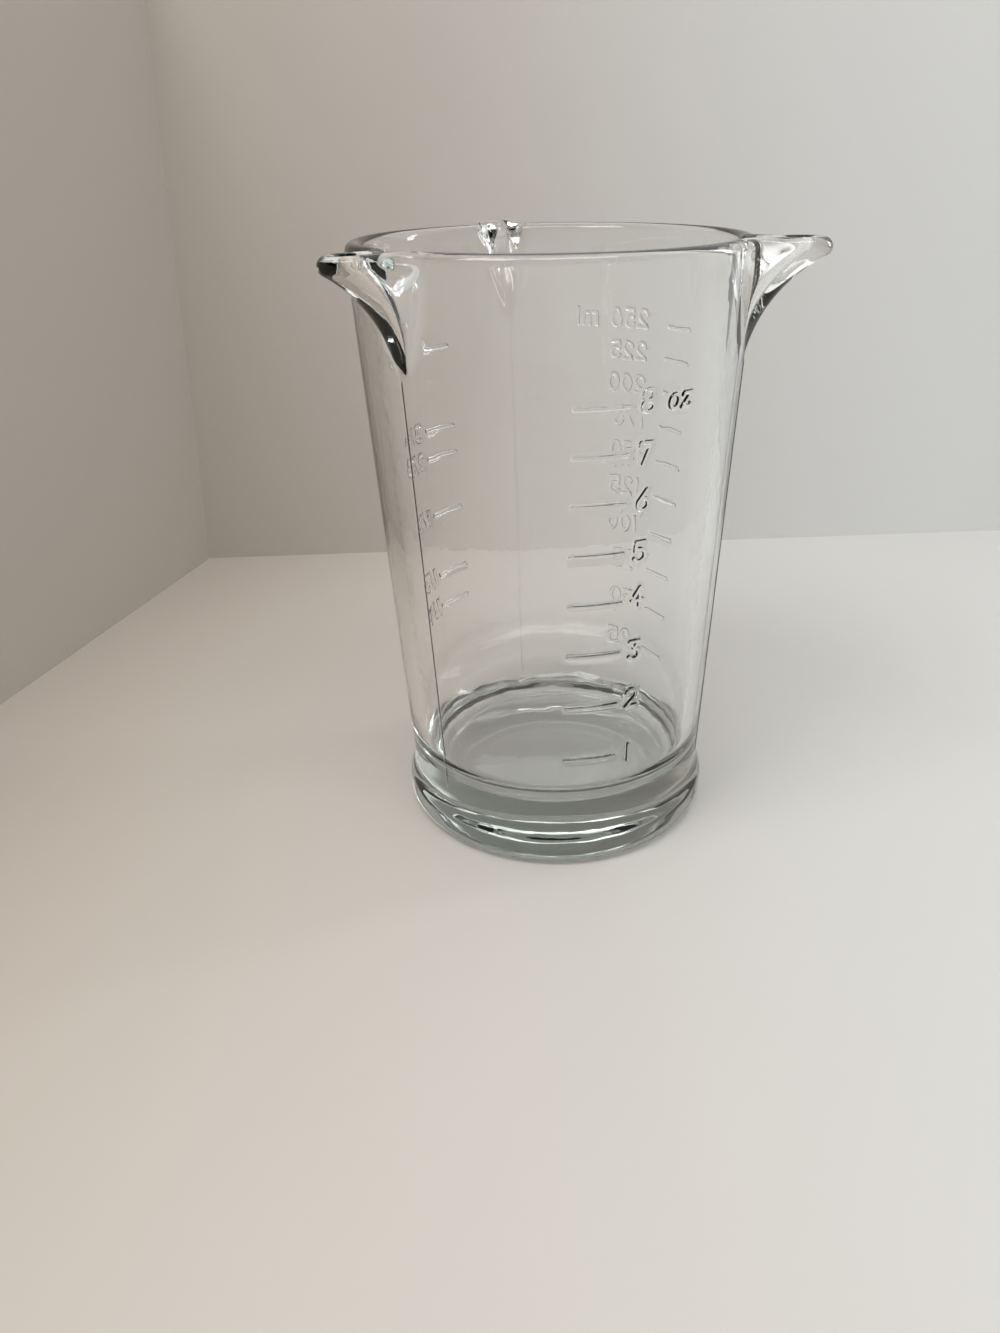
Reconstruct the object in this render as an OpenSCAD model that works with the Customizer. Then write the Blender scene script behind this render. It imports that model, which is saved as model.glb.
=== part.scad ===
// Measuring glass: one piece of thick pressed glass, with a tapered wall, three pouring
// spouts a third of a turn apart and a raised scale in each of the three panels between them.
// Millimetres, +Z up, origin at the middle of the underside, ounce panel towards -Y.

/* [Wall] */
// Height from the table to the top of the lip
total_h = 118; // [100:0.5:150]
// Outer diameter of the wall's line at the height of the lip
lip_d = 77.6; // [66:0.2:96]
// Outer diameter of the same line carried down to the table
root_d = 59.7; // [50:0.1:64]
// Thickness of the wall, measured level
wall_t = 3.4; // [2.6:0.1:4.4]

/* [Base] */
// Thickness of the glass under the bowl
floor_t = 10.7; // [7:0.1:14]
// Radius of the corner between the bowl's floor and its wall
floor_corner_r = 8; // [4:0.5:12]
// How far the foot stands out past the wall's line at the table
foot_out = 1.85; // [1:0.05:4]
// Radius of the foot's rolled edge, below and above
foot_edge_r = 3; // [2:0.1:4]
// Height of the foot's upright band, between its two rolled edges
foot_band_h = 2; // [1:0.1:4]
// Radius of the hollow waist where the wall runs out into the foot
waist_r = 9; // [6:0.5:12]
// Width of the flat ring that the glass stands on
rest_w = 4.7; // [3:0.1:8]
// Depth of the hollow under the base at its middle
hollow_h = 1; // [0.4:0.1:2]

/* [Spouts] */
// Number of spouts and of panels between them
spouts = 3; // [2:1:4]
// How far a spout's tip stands out past the wall's line at the lip
spout_out = 12.9; // [9:0.1:18]
// Height that a spout takes of the wall, from the top of the lip down
spout_drop = 21.5; // [16:0.5:30]
// Angle at which the keel under a spout leaves the wall, in degrees
keel_lean = 8; // [4:0.5:12]
// Angle at which the channel inside a spout leaves the wall, in degrees
channel_lean = 10.5; // [6:0.5:14]
// Radius of the spout's nose, seen from above
nose_r = 4.6; // [4:0.1:5]
// Radius of the channel's end, seen from above
channel_r = 1.9; // [1.5:0.1:2.4]
// Radius of the web that blends a spout's side into the wall
web_r = 8; // [5:0.5:10]
// Thickness of the lip at the spout's tip
tip_t = 3.6; // [3:0.1:4.4]

/* [Scales] */
// Number of ounce marks
ounces = 8; // [4:1:8]
// Number of millilitre marks, 25 ml apart
ml_marks = 10; // [6:1:10]
// Height of a mark's rib, up the wall
mark_w = 0.8; // [0.5:0.05:1.4]
// How far a mark stands out of the wall
mark_h = 0.4; // [0.2:0.05:0.8]
// Length of a mark, as an angle round the axis
mark_span = 15; // [8:0.5:20]
// Where the ounce and millilitre marks start, as an angle from the panel's middle
mark_start = -9.5; // [-20:0.5:0]
// Where the cup marks start, as an angle from the panel's middle
cup_mark_start = -33.5; // [-36:0.5:-20]
// Width of a mould seam
seam_w = 0.6; // [0.4:0.1:1.2]
// How far a mould seam stands out of the wall
seam_h = 0.25; // [0.15:0.05:0.5]

/* [Hidden] */
glass = [0.78, 0.85, 0.84];
relief = [0.62, 0.71, 0.70];
$fn = 180;

// Real volumes that the marks stand for, in cubic millimetres
ounce_vol = 29573.5;
cup_vol = 236588;
ml_step_vol = 25000;
cup_parts = [1, 3 / 4, 2 / 3, 1 / 2, 1 / 3, 1 / 4];

function sq(x) = x * x;
function bearing(from, to) = atan2(to[1] - from[1], to[0] - from[0]);
function unit(a) = [cos(a), sin(a)];

// Points of an arc about a centre, from one angle to another in n steps, from step first on
function arc(c, r, a0, a1, n, first = 0) = [for (i = [first:n]) c + r * unit(a0 + (a1 - a0) * i / n)];
function arc_between(c, r, p, q, n, first = 0) = arc(c, r, bearing(c, p), bearing(c, q), n, first);

// The wall is a cone: its outer radius grows evenly with height
taper = (lip_d - root_d) / 2 / total_h;
slope = atan(taper);
across_wall = unit(-slope);
along_wall = unit(90 - slope);
function wall_r(z) = root_d / 2 + taper * z;
function bowl_r(z) = wall_r(z) - wall_t;

// Level where the lip's rounding starts, and the level where the spouts leave the wall
lip_z = total_h - wall_t / 2;
spout_z = total_h - spout_drop;

// Foot: a rolled edge below, an upright band, a rolled edge above, and the hollow waist,
// an arc that touches both the upper edge and the wall line
foot_c = [root_d / 2 + foot_out - foot_edge_r, foot_edge_r + foot_band_h];
foot_in = foot_c - [root_d / 2, 0];
waist_reach = sqrt(sq(foot_edge_r + waist_r) - sq(waist_r - foot_in * across_wall));
waist_top = [root_d / 2, 0] + (foot_in * along_wall + waist_reach) * along_wall;
waist_c = waist_top + waist_r * across_wall;
waist_a = bearing(foot_c, waist_c);

// Hollow under the base: a shallow dome inside the ring that the glass stands on
hollow_r = foot_c[0] - rest_w;
dome_r = (sq(hollow_r) + sq(hollow_h)) / (2 * hollow_h);
dome_a = asin(hollow_r / dome_r);

// Corner of the bowl: an arc that touches the floor and the inner wall line
corner_z = floor_t + floor_corner_r;
corner_c = [bowl_r(corner_z) - floor_corner_r / cos(slope), corner_z];

// Height of a filling: the cone above the floor, with the glass of the rounded corner added.
// The centroid of that glass lies at this share of the radius from the corner.
corner_centroid = (10 - 3 * PI) / (12 - 3 * PI);
floor_r = bowl_r(floor_t);
corner_vol = (1 - PI / 4) * sq(floor_corner_r) * 2 * PI * (floor_r - corner_centroid * floor_corner_r);
function fill_z(v) = (pow((v + corner_vol) * 3 * taper / PI + pow(floor_r, 3), 1 / 3) - bowl_r(0)) / taper;

// Lip: half round between the outer and the inner point of the wall's top
lip_steps = 8;
function lip(outer, inner, h) = [for (i = [1:lip_steps - 1]) let (a = 180 * i / lip_steps)
    concat((outer + inner) / 2 + (outer - inner) / 2 * cos(a), lip_z + h * sin(a))];

// Radius of the arc that leaves a point in a given direction, bends outwards and touches a circle
function bend_r(p, turn, c, r) = (sq(norm(p - c)) - sq(r)) / (2 * (r - (p - c) * unit(turn)));

// Each spout is a loft let into a notch of the wall, which it overlaps by this much, in
// millimetres below it and in degrees beside it
lap = 0.2;
curve_steps = 8;
tip_steps = 3;
tip_r = tip_t / 2;
tip_c = [lip_d / 2 + spout_out - tip_r, lip_z];

// Keel: a spout's lowest line outside, an arc from the wall that touches the round tip
keel_foot = [wall_r(spout_z), spout_z];
keel_turn = -slope - keel_lean;
keel_r = bend_r(keel_foot, keel_turn, tip_c, tip_r);
keel_c = keel_foot + keel_r * unit(keel_turn);
keel = concat(
    [[wall_r(spout_z - lap), spout_z - lap]],
    arc_between(keel_c, keel_r, keel_foot, tip_c, curve_steps),
    arc(tip_c, tip_r, bearing(tip_c, keel_c), 0, tip_steps, 1)
);

// Channel: the lowest line inside, an arc from the bowl's wall to the lip at the tip
channel_foot = [bowl_r(spout_z), spout_z];
channel_end = tip_c - [tip_r, 0];
channel_turn = -slope - channel_lean;
channel_curve_r = bend_r(channel_foot, channel_turn, channel_end, 0);
channel_c = channel_foot + channel_curve_r * unit(channel_turn);
channel = concat(
    [[bowl_r(spout_z - lap), spout_z - lap]],
    arc_between(channel_c, channel_curve_r, channel_foot, channel_end, curve_steps)
);

// Half angle of the sector that a spout is lofted over: its webs and a margin beside them
sector_margin = 4;
sector = asin((nose_r + web_r) / (wall_r(spout_z) + web_r)) + sector_margin;

// At the spout's foot the nose and the web end at these angles from the spout's middle
foot_nose_a = 2;
foot_web_a = 4;
nose_steps = 4;
web_steps = 5;
side_steps = 4;

// Half of a level section, from the spout's middle to the sector's side: the nose's arc, the
// web's arc and the wall's own circle, each touching the next. r is the wall's radius here.
function web_a(r, reach, nose, web) =
    acos((sq(reach - nose) + sq(r + web) - sq(nose + web)) / (2 * (reach - nose) * (r + web)));
function spout_half(r, reach, nose, web) =
    let (
        a = max(foot_nose_a, web_a(r, reach, nose, web)),
        w = (r + web) * unit(a),
        n = (sq(reach) + sq(r + web) - 2 * reach * w[0] - sq(web)) / (2 * (web + reach - w[0])),
        t = bearing([reach - n, 0], w)
    )
    concat(
        arc([reach - n, 0], n, 0, t, nose_steps),
        arc(w, web, 180 + t, 180 + a, web_steps, 1),
        arc([0, 0], r, a, sector, side_steps, 1)
    );

// Below the keel's start the same points lie on the plain circle
function foot_half(r) = concat(
    arc([0, 0], r, 0, foot_nose_a, nose_steps),
    arc([0, 0], r, foot_nose_a, foot_web_a, web_steps, 1),
    arc([0, 0], r, foot_web_a, sector, side_steps, 1)
);
least_out = 0.01;
function half_section(r, reach, nose, web) =
    reach - r < least_out ? foot_half(r) : spout_half(r, reach, nose, web);

// Both halves in one row, from one side of the sector to the other, at a height
function row(half, z) = concat(
    [for (i = [len(half) - 1:-1:1]) [half[i][0], -half[i][1], z]],
    [for (p = half) [p[0], p[1], z]]
);

// The loft's faces lie inside the wall's own by a hair where the two meet, and the inner one
// also by the height of a chord, because a chord of a circle cuts inside it
seat = 0.06;
chord_h = bowl_r(lip_z) * (1 - cos((sector - foot_web_a) / side_steps / 2));
inner_seat = seat + chord_h;
inner_web_r = web_r + nose_r - channel_r;
outer_rows = [for (k = keel) row(half_section(wall_r(k[1]) - seat, k[0] - seat, nose_r, web_r), k[1])];
inner_rows = [for (k = channel)
    row(half_section(bowl_r(k[1]) + inner_seat, k[0] + inner_seat, channel_r, inner_web_r), k[1])];
outer_top = outer_rows[len(outer_rows) - 1];
inner_top = inner_rows[len(inner_rows) - 1];
lip_lines = [for (j = [0:len(outer_top) - 1])
    lip([outer_top[j][0], outer_top[j][1]], [inner_top[j][0], inner_top[j][1]], wall_t / 2 - seat)];
lip_rows = [for (i = [0:lip_steps - 2]) [for (line = lip_lines) line[i]]];
spout_rows = concat(outer_rows, lip_rows, [for (i = [len(inner_rows) - 1:-1:0]) inner_rows[i]]);

// Bearings of the spouts and of the panels' middles: the first spout is at the back, the ounce
// panel faces -Y, and the next ones follow anticlockwise, seen from above
function spout_a(i) = 90 + 360 / spouts * i;
function panel_a(i) = -90 + 360 / spouts * i;

// Closed loft through rows of points: the rows close on themselves round the section, and
// the two ends are flat
module loft(rows) {
    m = len(rows);
    n = len(rows[0]);
    points = [for (line = rows) each line];
    sides = [for (i = [0:m - 1]) for (j = [0:n - 2])
        let (a = i * n + j, b = ((i + 1) % m) * n + j) each [[a, b, b + 1], [a, b + 1, a + 1]]];
    ends = [for (i = [0:ceil(m / 2) - 2])
        let (a = i * n, b = (i + 1) * n, c = (m - 2 - i) * n, d = (m - 1 - i) * n, e = n - 1)
        each concat(
            b == c ? [] : [[a, c, b], [a + e, b + e, c + e]],
            [[a, d, c], [a + e, c + e, d + e]]
        )];
    polyhedron(points, concat(sides, ends), convexity = 6);
}

// Base, wall and lip as one revolve, with no spouts yet
module bowl() {
    outer = [wall_r(lip_z), 0];
    inner = [bowl_r(lip_z), 0];
    rotate_extrude()
        polygon(concat(
            arc([0, hollow_h - dome_r], dome_r, 90, 90 - dome_a, 6),
            arc([foot_c[0], foot_edge_r], foot_edge_r, -90, 0, 8),
            arc(foot_c, foot_edge_r, 0, waist_a, 5),
            arc(waist_c, waist_r, 180 + waist_a, 180 - slope, 6, 1),
            [[outer[0], lip_z]],
            [for (p = lip(outer, inner, wall_t / 2)) [p[0], p[2]]],
            [[inner[0], lip_z]],
            arc(corner_c, floor_corner_r, -slope, -90, 14),
            [[0, floor_t]]
        ));
}

// Wedge that opens the wall for one spout, from the spout's foot up
module spout_gap() {
    side = lip_d * unit(sector - lap);
    translate([0, 0, spout_z])
        linear_extrude(height = spout_drop + lap)
            polygon([[0, 0], [side[0], -side[1]], side]);
}

module glass_vessel() {
    color(glass) {
        difference() {
            bowl();
            for (i = [0:spouts - 1]) rotate([0, 0, spout_a(i)]) spout_gap();
        }
        for (i = [0:spouts - 1]) rotate([0, 0, spout_a(i)]) loft(spout_rows);
    }
}

// One raised mark, seated on the wall at a height and from an angle on, with bevelled edges
module mark(z, a) {
    half_w = mark_w / 2;
    top_w = half_w / 2;
    rotate([0, 0, a])
        rotate_extrude(angle = mark_span)
            polygon([
                [wall_r(z - half_w), z - half_w],
                [wall_r(z) + mark_h, z - top_w],
                [wall_r(z) + mark_h, z + top_w],
                [wall_r(z + half_w), z + half_w]
            ]);
}

module ounce_marks() {
    color(relief)
        for (i = [1:ounces]) mark(fill_z(i * ounce_vol), panel_a(0) + mark_start);
}

module millilitre_marks() {
    color(relief)
        for (i = [1:ml_marks]) mark(fill_z(i * ml_step_vol), panel_a(1) + mark_start);
}

module cup_marks() {
    color(relief)
        for (part = cup_parts) mark(fill_z(part * cup_vol), panel_a(2) + cup_mark_start);
}

// Thin ridges left by the joints of the mould, from the waist up to each spout's foot
module mould_seams() {
    low = waist_top[1];
    half_a = asin(seam_w / 2 / wall_r(spout_z));
    color(relief)
        for (i = [0:spouts - 1])
            rotate([0, 0, spout_a(i) - half_a])
                rotate_extrude(angle = 2 * half_a)
                    polygon([
                        [wall_r(low), low],
                        [wall_r(low) + seam_h, low + seam_h],
                        [wall_r(spout_z) + seam_h, spout_z - seam_h],
                        [wall_r(spout_z), spout_z]
                    ]);
}

glass_vessel();
ounce_marks();
millilitre_marks();
cup_marks();
mould_seams();
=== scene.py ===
"""Measuring glass of thick pressed glass: vessel with three pouring spouts and raised scales."""
import math
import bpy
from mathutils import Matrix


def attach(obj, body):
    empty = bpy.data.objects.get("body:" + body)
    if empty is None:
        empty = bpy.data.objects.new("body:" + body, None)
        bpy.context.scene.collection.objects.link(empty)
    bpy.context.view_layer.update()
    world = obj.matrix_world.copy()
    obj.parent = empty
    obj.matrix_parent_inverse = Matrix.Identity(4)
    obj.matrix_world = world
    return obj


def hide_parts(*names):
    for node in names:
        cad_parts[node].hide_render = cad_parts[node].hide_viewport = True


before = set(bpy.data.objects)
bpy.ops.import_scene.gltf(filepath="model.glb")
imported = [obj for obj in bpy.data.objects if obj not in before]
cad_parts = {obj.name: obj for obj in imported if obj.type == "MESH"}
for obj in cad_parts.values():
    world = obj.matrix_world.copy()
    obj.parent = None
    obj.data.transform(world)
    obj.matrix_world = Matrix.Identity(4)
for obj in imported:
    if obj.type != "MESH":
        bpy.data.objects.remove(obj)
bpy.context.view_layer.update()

from types import SimpleNamespace

import bpy
import numpy as np
from mathutils import Matrix, Vector
from mathutils.geometry import delaunay_2d_cdt

bl_info = {
    "name": "Measuring Glass",
    "version": (1, 0, 0),
    "blender": (4, 5, 0),
    "location": "3D View > Sidebar > Glass",
    "description": "Builds a pressed measuring glass with raised scales, and the studio it stands in",
    "category": "Add Mesh",
}

MM = 0.001
FULL_TURN = 2 * math.pi
SPOUTS = 3
THIRD_TURN = FULL_TURN / SPOUTS
FIRST_SPOUT = math.radians(90)
FIRST_PANEL = math.radians(-90)
CAD_NODES = ("glass_vessel", "ounce_marks", "millilitre_marks", "cup_marks", "mould_seams")

# Real volumes that the marks stand for, in cubic millimetres
OUNCE = 29573.5
CUP = 236588.0
MILLILITRES_25 = 25000.0


def length(name, description, mm):
    """A length property, kept in metres, from a size in millimetres."""
    return bpy.props.FloatProperty(
        name=name, description=description, default=mm * MM, min=0, unit="LENGTH", precision=5)


def turn(name, description, degrees):
    """An angle property, kept in radians, from a size in degrees."""
    return bpy.props.FloatProperty(
        name=name, description=description, default=math.radians(degrees), unit="ROTATION")


def tone(name, description, colour):
    """A colour property."""
    return bpy.props.FloatVectorProperty(
        name=name, description=description, default=colour, size=3, min=0, max=1, subtype="COLOR")


def number(name, description, value, top=100.0):
    """A plain number property."""
    return bpy.props.FloatProperty(
        name=name, description=description, default=value, min=0, max=top)


class GlassShape(bpy.types.PropertyGroup):
    """Sizes of the vessel."""
    total_h: length("Height", "From the table to the top of the lip", 118)
    lip_d: length("Lip diameter", "Diameter of the wall's line at the height of the lip", 77.6)
    root_d: length("Root diameter", "Diameter of the same line carried down to the table", 59.7)
    wall_t: length("Wall", "Thickness of the wall, measured level", 3.4)
    floor_t: length("Floor", "Thickness of the glass under the bowl", 10.7)
    corner_r: length("Bowl corner", "Radius between the bowl's floor and its wall", 8)
    foot_out: length("Foot", "How far the foot stands out past the wall's line", 1.85)
    foot_r: length("Foot edge", "Radius of the foot's rolled edge", 3)
    band_h: length("Foot band", "Height of the foot's upright band", 2)
    waist_r: length("Waist", "Radius of the hollow waist above the foot", 9)
    rest_w: length("Resting ring", "Width of the flat ring the glass stands on", 4.7)
    hollow_h: length("Hollow", "Depth of the hollow under the base", 1)
    spout_out: length("Spout reach", "How far a spout stands out past the wall's line", 12.9)
    spout_drop: length("Spout height", "Height that a spout takes of the wall", 21.5)
    nose_r: length("Spout nose", "Radius of the spout's nose at the lip, from above", 4.4)
    nose_low_r: length("Keel nose", "The same radius where the keel leaves the wall", 2.0)
    channel_r: length("Channel end", "Radius of the channel's end at the lip, from above", 2.4)
    channel_low_r: length("Channel foot", "The same radius where the channel leaves the wall", 2.6)
    web_r: length("Spout web", "Radius that blends a spout's side into the wall at the lip", 2.6)
    web_low_r: length("Keel web", "The same radius where the keel leaves the wall", 1.0)
    foot_low: length("Spout foot", "Half width of a spout at its foot, on the wall", 3)
    foot_high: length("Spout root", "Half width of a spout at the lip, on the wall", 6.7)
    tip_t: length("Tip", "Thickness of the lip at the spout's tip", 3.6)
    keel_lean: turn("Keel lean", "Angle at which the keel leaves the wall", 8)
    channel_lean: turn("Channel lean", "Angle at which the channel leaves the wall", 10.5)


class RaisedScales(bpy.types.PropertyGroup):
    """Sizes of the raised lines, numerals and mould seams."""
    line_w: length("Line width", "Width of a raised line at the wall", 0.9)
    line_h: length("Line height", "How far a raised line stands out of the wall", 0.44)
    worn_h: length("Worn line height", "The same for the worn millilitre scale", 0.2)
    line_l: length("Line length", "Length of a scale line", 9.5)
    worn_l: length("Worn line length", "The same for the worn millilitre scale", 7.9)
    worn_start: turn("Worn line start", "Where such a line starts, from the panel's middle", -15)
    line_end: turn("Line end", "Where an ounce line ends, from the panel's middle", 5)
    cup_start: turn("Cup line start", "Where a cup line starts, from the panel's middle", -33.5)
    numeral_h: length("Numeral height", "Height of a numeral between its stroke middles", 3.7)
    numeral_w: length("Numeral width", "Width of a numeral between its stroke middles", 2.15)
    seam_w: length("Seam width", "Width of a mould seam", 0.6)
    seam_h: length("Seam height", "How far a mould seam stands out of the wall", 0.1)


class GlassLook(bpy.types.PropertyGroup):
    """Finish of the glass."""
    tint: tone("Tint", "Colour that thick glass shows", (0.66, 0.77, 0.73))
    depth: number("Tint depth", "How strongly the tint grows with thickness, per metre", 14.0)
    ior: number("Bending", "Refractive index of the glass", 1.52, 3.0)
    gloss: number("Roughness", "Roughness of the fire-polished surface", 0.01, 1.0)
    wave: length("Waviness", "Height of the soft waves that pressing leaves", 0.022)


class StudioLook(bpy.types.PropertyGroup):
    """Floor, walls and light."""
    floor: tone("Floor", "Colour of the floor", (0.62, 0.62, 0.61))
    # floor_shade is painted shade: the floor's paint turns to it towards the left wall
    floor_shade: tone("Floor's shaded side", "Colour of the floor by the left wall", (0.54, 0.49, 0.44))
    wall: tone("Walls", "Colour of the niche's walls", (0.66, 0.67, 0.67))
    # wall_shade is painted shade: the walls' paint turns to it towards the corner
    wall_shade: tone("Walls' shaded side", "Colour of the walls by the corner", (0.45, 0.41, 0.37))
    key: number("Window light", "Power of the window in watts", 2.05)
    fill: number("Fill light", "Power of the soft light from the front in watts", 1.4)
    slit: number("Side light", "Power of the narrow light on the right in watts", 0.4)
    sky: number("Room light", "Strength of the room's own light", 0.72)


def plain_values(group):
    """Plain copy of a property group: lengths in millimetres, colours as tuples, others as they are."""
    out = {}
    for key in group.bl_rna.properties.keys():
        prop = group.bl_rna.properties[key]
        if prop.type != "FLOAT":
            continue
        value = getattr(group, key)
        if prop.is_array:
            out[key] = tuple(value)
        else:
            out[key] = value / MM if prop.unit == "LENGTH" else value
    return SimpleNamespace(**out)


# Plane shapes, in millimetres. In what follows s holds the vessel's sizes and m the raised marks'

# How many steps each stretch of the profiles is cut into
STEPS = SimpleNamespace(dome=9, rest=4, low_roll=9, high_roll=7, waist=10, corner=14, floor=8,
                        keel=22, tip=5, channel=24, lip=10)
# Half angle of the stretch of wall whose columns a spout takes
SECTOR = math.radians(18)
# Bearing of the line along which the walls are cut open to unroll them: the first spout's edge
CUT = FIRST_SPOUT - SECTOR
HALF_COLUMNS = 32
PANEL_COLUMNS = 50
NOSE_CROWDING = 1.4
# Places of a half spout's columns along its outline, closer together towards the nose
SHARE = np.linspace(0, 1, HALF_COLUMNS + 1) ** NOSE_CROWDING
# Bearings of a panel's columns past the middle of the spout before it
PANEL = SECTOR + (THIRD_TURN - 2 * SECTOR) * np.arange(1, PANEL_COLUMNS) / PANEL_COLUMNS
# Least angle from a spout's middle to where its web meets the wall
LEAST_WEB = math.radians(1.2)
# Share of a spout's height within which its foot opens to its width
FOOT_OPENING = 0.3


def unit(angle):
    """Unit vector at an angle in radians, as the last axis."""
    return np.stack([np.cos(angle), np.sin(angle)], -1)


def bearing(start, end):
    """Angle of the line from one point to another."""
    return math.atan2(end[1] - start[1], end[0] - start[0])


def arc(centre, r, a0, a1, steps):
    """Points of an arc about a centre from angle a0 to a1, both ends included."""
    return np.asarray(centre) + r * unit(np.linspace(a0, a1, steps + 1))


def bend_radius(p, heading, c, r):
    """Radius of the arc that leaves p, with its centre towards heading, and touches a circle."""
    d = np.asarray(p) - np.asarray(c)
    return (d @ d - r * r) / (2 * (r - d @ unit(heading)))


def ease(x):
    """Smooth step from 0 to 1."""
    x = np.clip(x, 0, 1)
    return x * x * (3 - 2 * x)


def derive(s):
    """Works out the values that follow from the sizes, by the same rules as the solid part. The
    corner's glass is the square less the quarter round, turned about the axis at its centroid."""
    s.taper = (s.lip_d - s.root_d) / 2 / s.total_h
    s.slope = math.atan(s.taper)
    s.wall_r = lambda z: s.root_d / 2 + s.taper * z
    s.bowl_r = lambda z: s.wall_r(z) - s.wall_t
    s.lip_z = s.total_h - s.wall_t / 2
    s.spout_z = s.total_h - s.spout_drop
    across, along = unit(-s.slope), unit(math.pi / 2 - s.slope)
    s.foot_c = np.array([s.root_d / 2 + s.foot_out - s.foot_r, s.foot_r + s.band_h])
    inward = s.foot_c - [s.root_d / 2, 0]
    reach = math.sqrt((s.foot_r + s.waist_r) ** 2 - (s.waist_r - inward @ across) ** 2)
    s.waist_top = np.array([s.root_d / 2, 0]) + (inward @ along + reach) * along
    s.waist_c = s.waist_top + s.waist_r * across
    s.waist_a = bearing(s.foot_c, s.waist_c)
    s.hollow_r = s.foot_c[0] - s.rest_w
    s.dome_r = (s.hollow_r ** 2 + s.hollow_h ** 2) / (2 * s.hollow_h)
    s.dome_a = math.asin(s.hollow_r / s.dome_r)
    corner_z = s.floor_t + s.corner_r
    s.corner_c = np.array([s.bowl_r(corner_z) - s.corner_r / math.cos(s.slope), corner_z])
    s.tip_r = s.tip_t / 2
    s.tip_c = np.array([s.lip_d / 2 + s.spout_out - s.tip_r, s.lip_z])
    s.floor_r = s.bowl_r(s.floor_t)
    section = (1 - math.pi / 4) * s.corner_r ** 2
    centroid = (10 - 3 * math.pi) / (12 - 3 * math.pi)
    s.corner_vol = section * FULL_TURN * (s.floor_r - centroid * s.corner_r)
    return s


def fill_level(s, volume):
    """Height of a filling: the cone above the floor with the rounded corner's glass added."""
    cube = (volume + s.corner_vol) * 3 * s.taper / math.pi + s.floor_r ** 3
    return (cube ** (1 / 3) - s.bowl_r(0)) / s.taper


def keel_line(s):
    """A spout's lowest line outside: an arc off the wall that touches the round tip, then the
    tip's own arc up to the level of the lip."""
    foot = np.array([s.wall_r(s.spout_z), s.spout_z])
    heading = -s.slope - s.keel_lean
    r = bend_radius(foot, heading, s.tip_c, s.tip_r)
    c = foot + r * unit(heading)
    line = arc(c, r, bearing(c, foot) % FULL_TURN, bearing(c, s.tip_c) % FULL_TURN, STEPS.keel)
    tip = arc(s.tip_c, s.tip_r, bearing(s.tip_c, c), 0, STEPS.tip)
    return np.concatenate([line, tip[1:]])


def channel_line(s):
    """The lowest line inside a spout: an arc from the bowl's wall to the lip at the tip."""
    foot = np.array([s.bowl_r(s.spout_z), s.spout_z])
    end = s.tip_c - [s.tip_r, 0]
    heading = -s.slope - s.channel_lean
    r = bend_radius(foot, heading, end, 0)
    c = foot + r * unit(heading)
    return arc(c, r, bearing(c, foot) % FULL_TURN, bearing(c, end) % FULL_TURN, STEPS.channel)


def column(values):
    """One value a row, as a column."""
    return values[:, None]


def fit_circles(r, reach, nose, web, foot):
    """Circles of level sections: one that ends at reach for the nose, and one that touches it
    and the wall's own circle r from outside for the web, at least the angle foot round. Where
    the spout hardly stands out, the nose widens until its circle meets the web's with no flank.
    Returns the nose's middle and radius, the angle to the web's middle and that middle, and the
    angle to which the nose runs with the length of the straight flank after it."""
    reach = np.maximum(reach, r)
    with np.errstate(invalid="ignore"):
        cosine = ((reach - nose) ** 2 + (r + web) ** 2 - (nose + web) ** 2) / (
            2 * (reach - nose) * (r + web))
    a = np.maximum(LEAST_WEB, np.arccos(np.clip(cosine, -1, 1)))
    across = (r + web) * np.cos(a)
    widest = (reach ** 2 + (r + web) ** 2 - 2 * reach * across - web ** 2) / (
        2 * (web + reach - across))
    nose = np.where(reach - nose < r, widest, nose)
    a = np.maximum(a, foot)
    nose_c = np.stack([reach - nose, np.zeros(len(r))], -1)
    web_c = column(r + web) * unit(a)
    between = web_c - nose_c
    apart = np.maximum(np.linalg.norm(between, axis=1), nose + web)
    t = np.arctan2(between[:, 1], between[:, 0]) - np.arccos((nose + web) / apart)
    return nose_c, nose, a, web_c, t, np.sqrt(apart ** 2 - (nose + web) ** 2)


def half_outline(r, reach, nose, web, foot):
    """Half of a level section by rows: the nose's arc, a straight flank, the web's arc and the
    wall's own circle, each touching the next, walked by the columns' shares of the whole length.
    All values are given one a row."""
    nose_c, nose, a, web_c, t, flank = fit_circles(r, reach, nose, web, foot)
    ends = np.cumsum(np.stack([nose * t, flank, web * (t - a)]), 0)[:, :, None]
    walked = SHARE * (ends[2, :, 0] + r * (SECTOR - a))[:, None]
    on_nose = np.clip(walked / column(nose), 0, column(t))
    on_flank = np.clip(walked - ends[0], 0, column(flank))
    on_web = column(math.pi + t) - np.clip((walked - ends[1]) / column(web), 0, column(t - a))
    on_wall = column(a) + np.clip((walked - ends[2]) / column(r), 0, None)
    forward = np.stack([-np.sin(t), np.cos(t)], -1)
    front = (column(nose_c) + nose[:, None, None] * unit(on_nose)
             + on_flank[..., None] * column(forward))
    side = column(web_c) + web[:, None, None] * unit(on_web)
    wall = r[:, None, None] * unit(on_wall)
    past_flank, past_web = (walked > ends[1])[..., None], (walked > ends[2])[..., None]
    return np.where(past_web, wall, np.where(past_flank, side, front))


def rings(r, reach, nose, web, foot):
    """Whole level sections by rows: a spout's two halves and a panel, three times round."""
    half = half_outline(r, reach, nose, web, foot)
    panel = r[:, None, None] * unit(PANEL)
    third = np.concatenate([half[:, :0:-1] * [1, -1], half, panel], 1)
    out = []
    for i in range(SPOUTS):
        x_way = unit(FIRST_SPOUT + THIRD_TURN * i)
        out.append(third @ np.array([x_way, [-x_way[1], x_way[0]]]))
    return np.concatenate(out, 1)


def column_bearings():
    """Bearings of a ring's columns past the cut where the section is a plain circle."""
    third = np.concatenate([-SHARE[:0:-1] * SECTOR, SHARE * SECTOR, PANEL]) + SECTOR
    return (THIRD_TURN * np.arange(SPOUTS)[:, None] + third).ravel()


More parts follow.
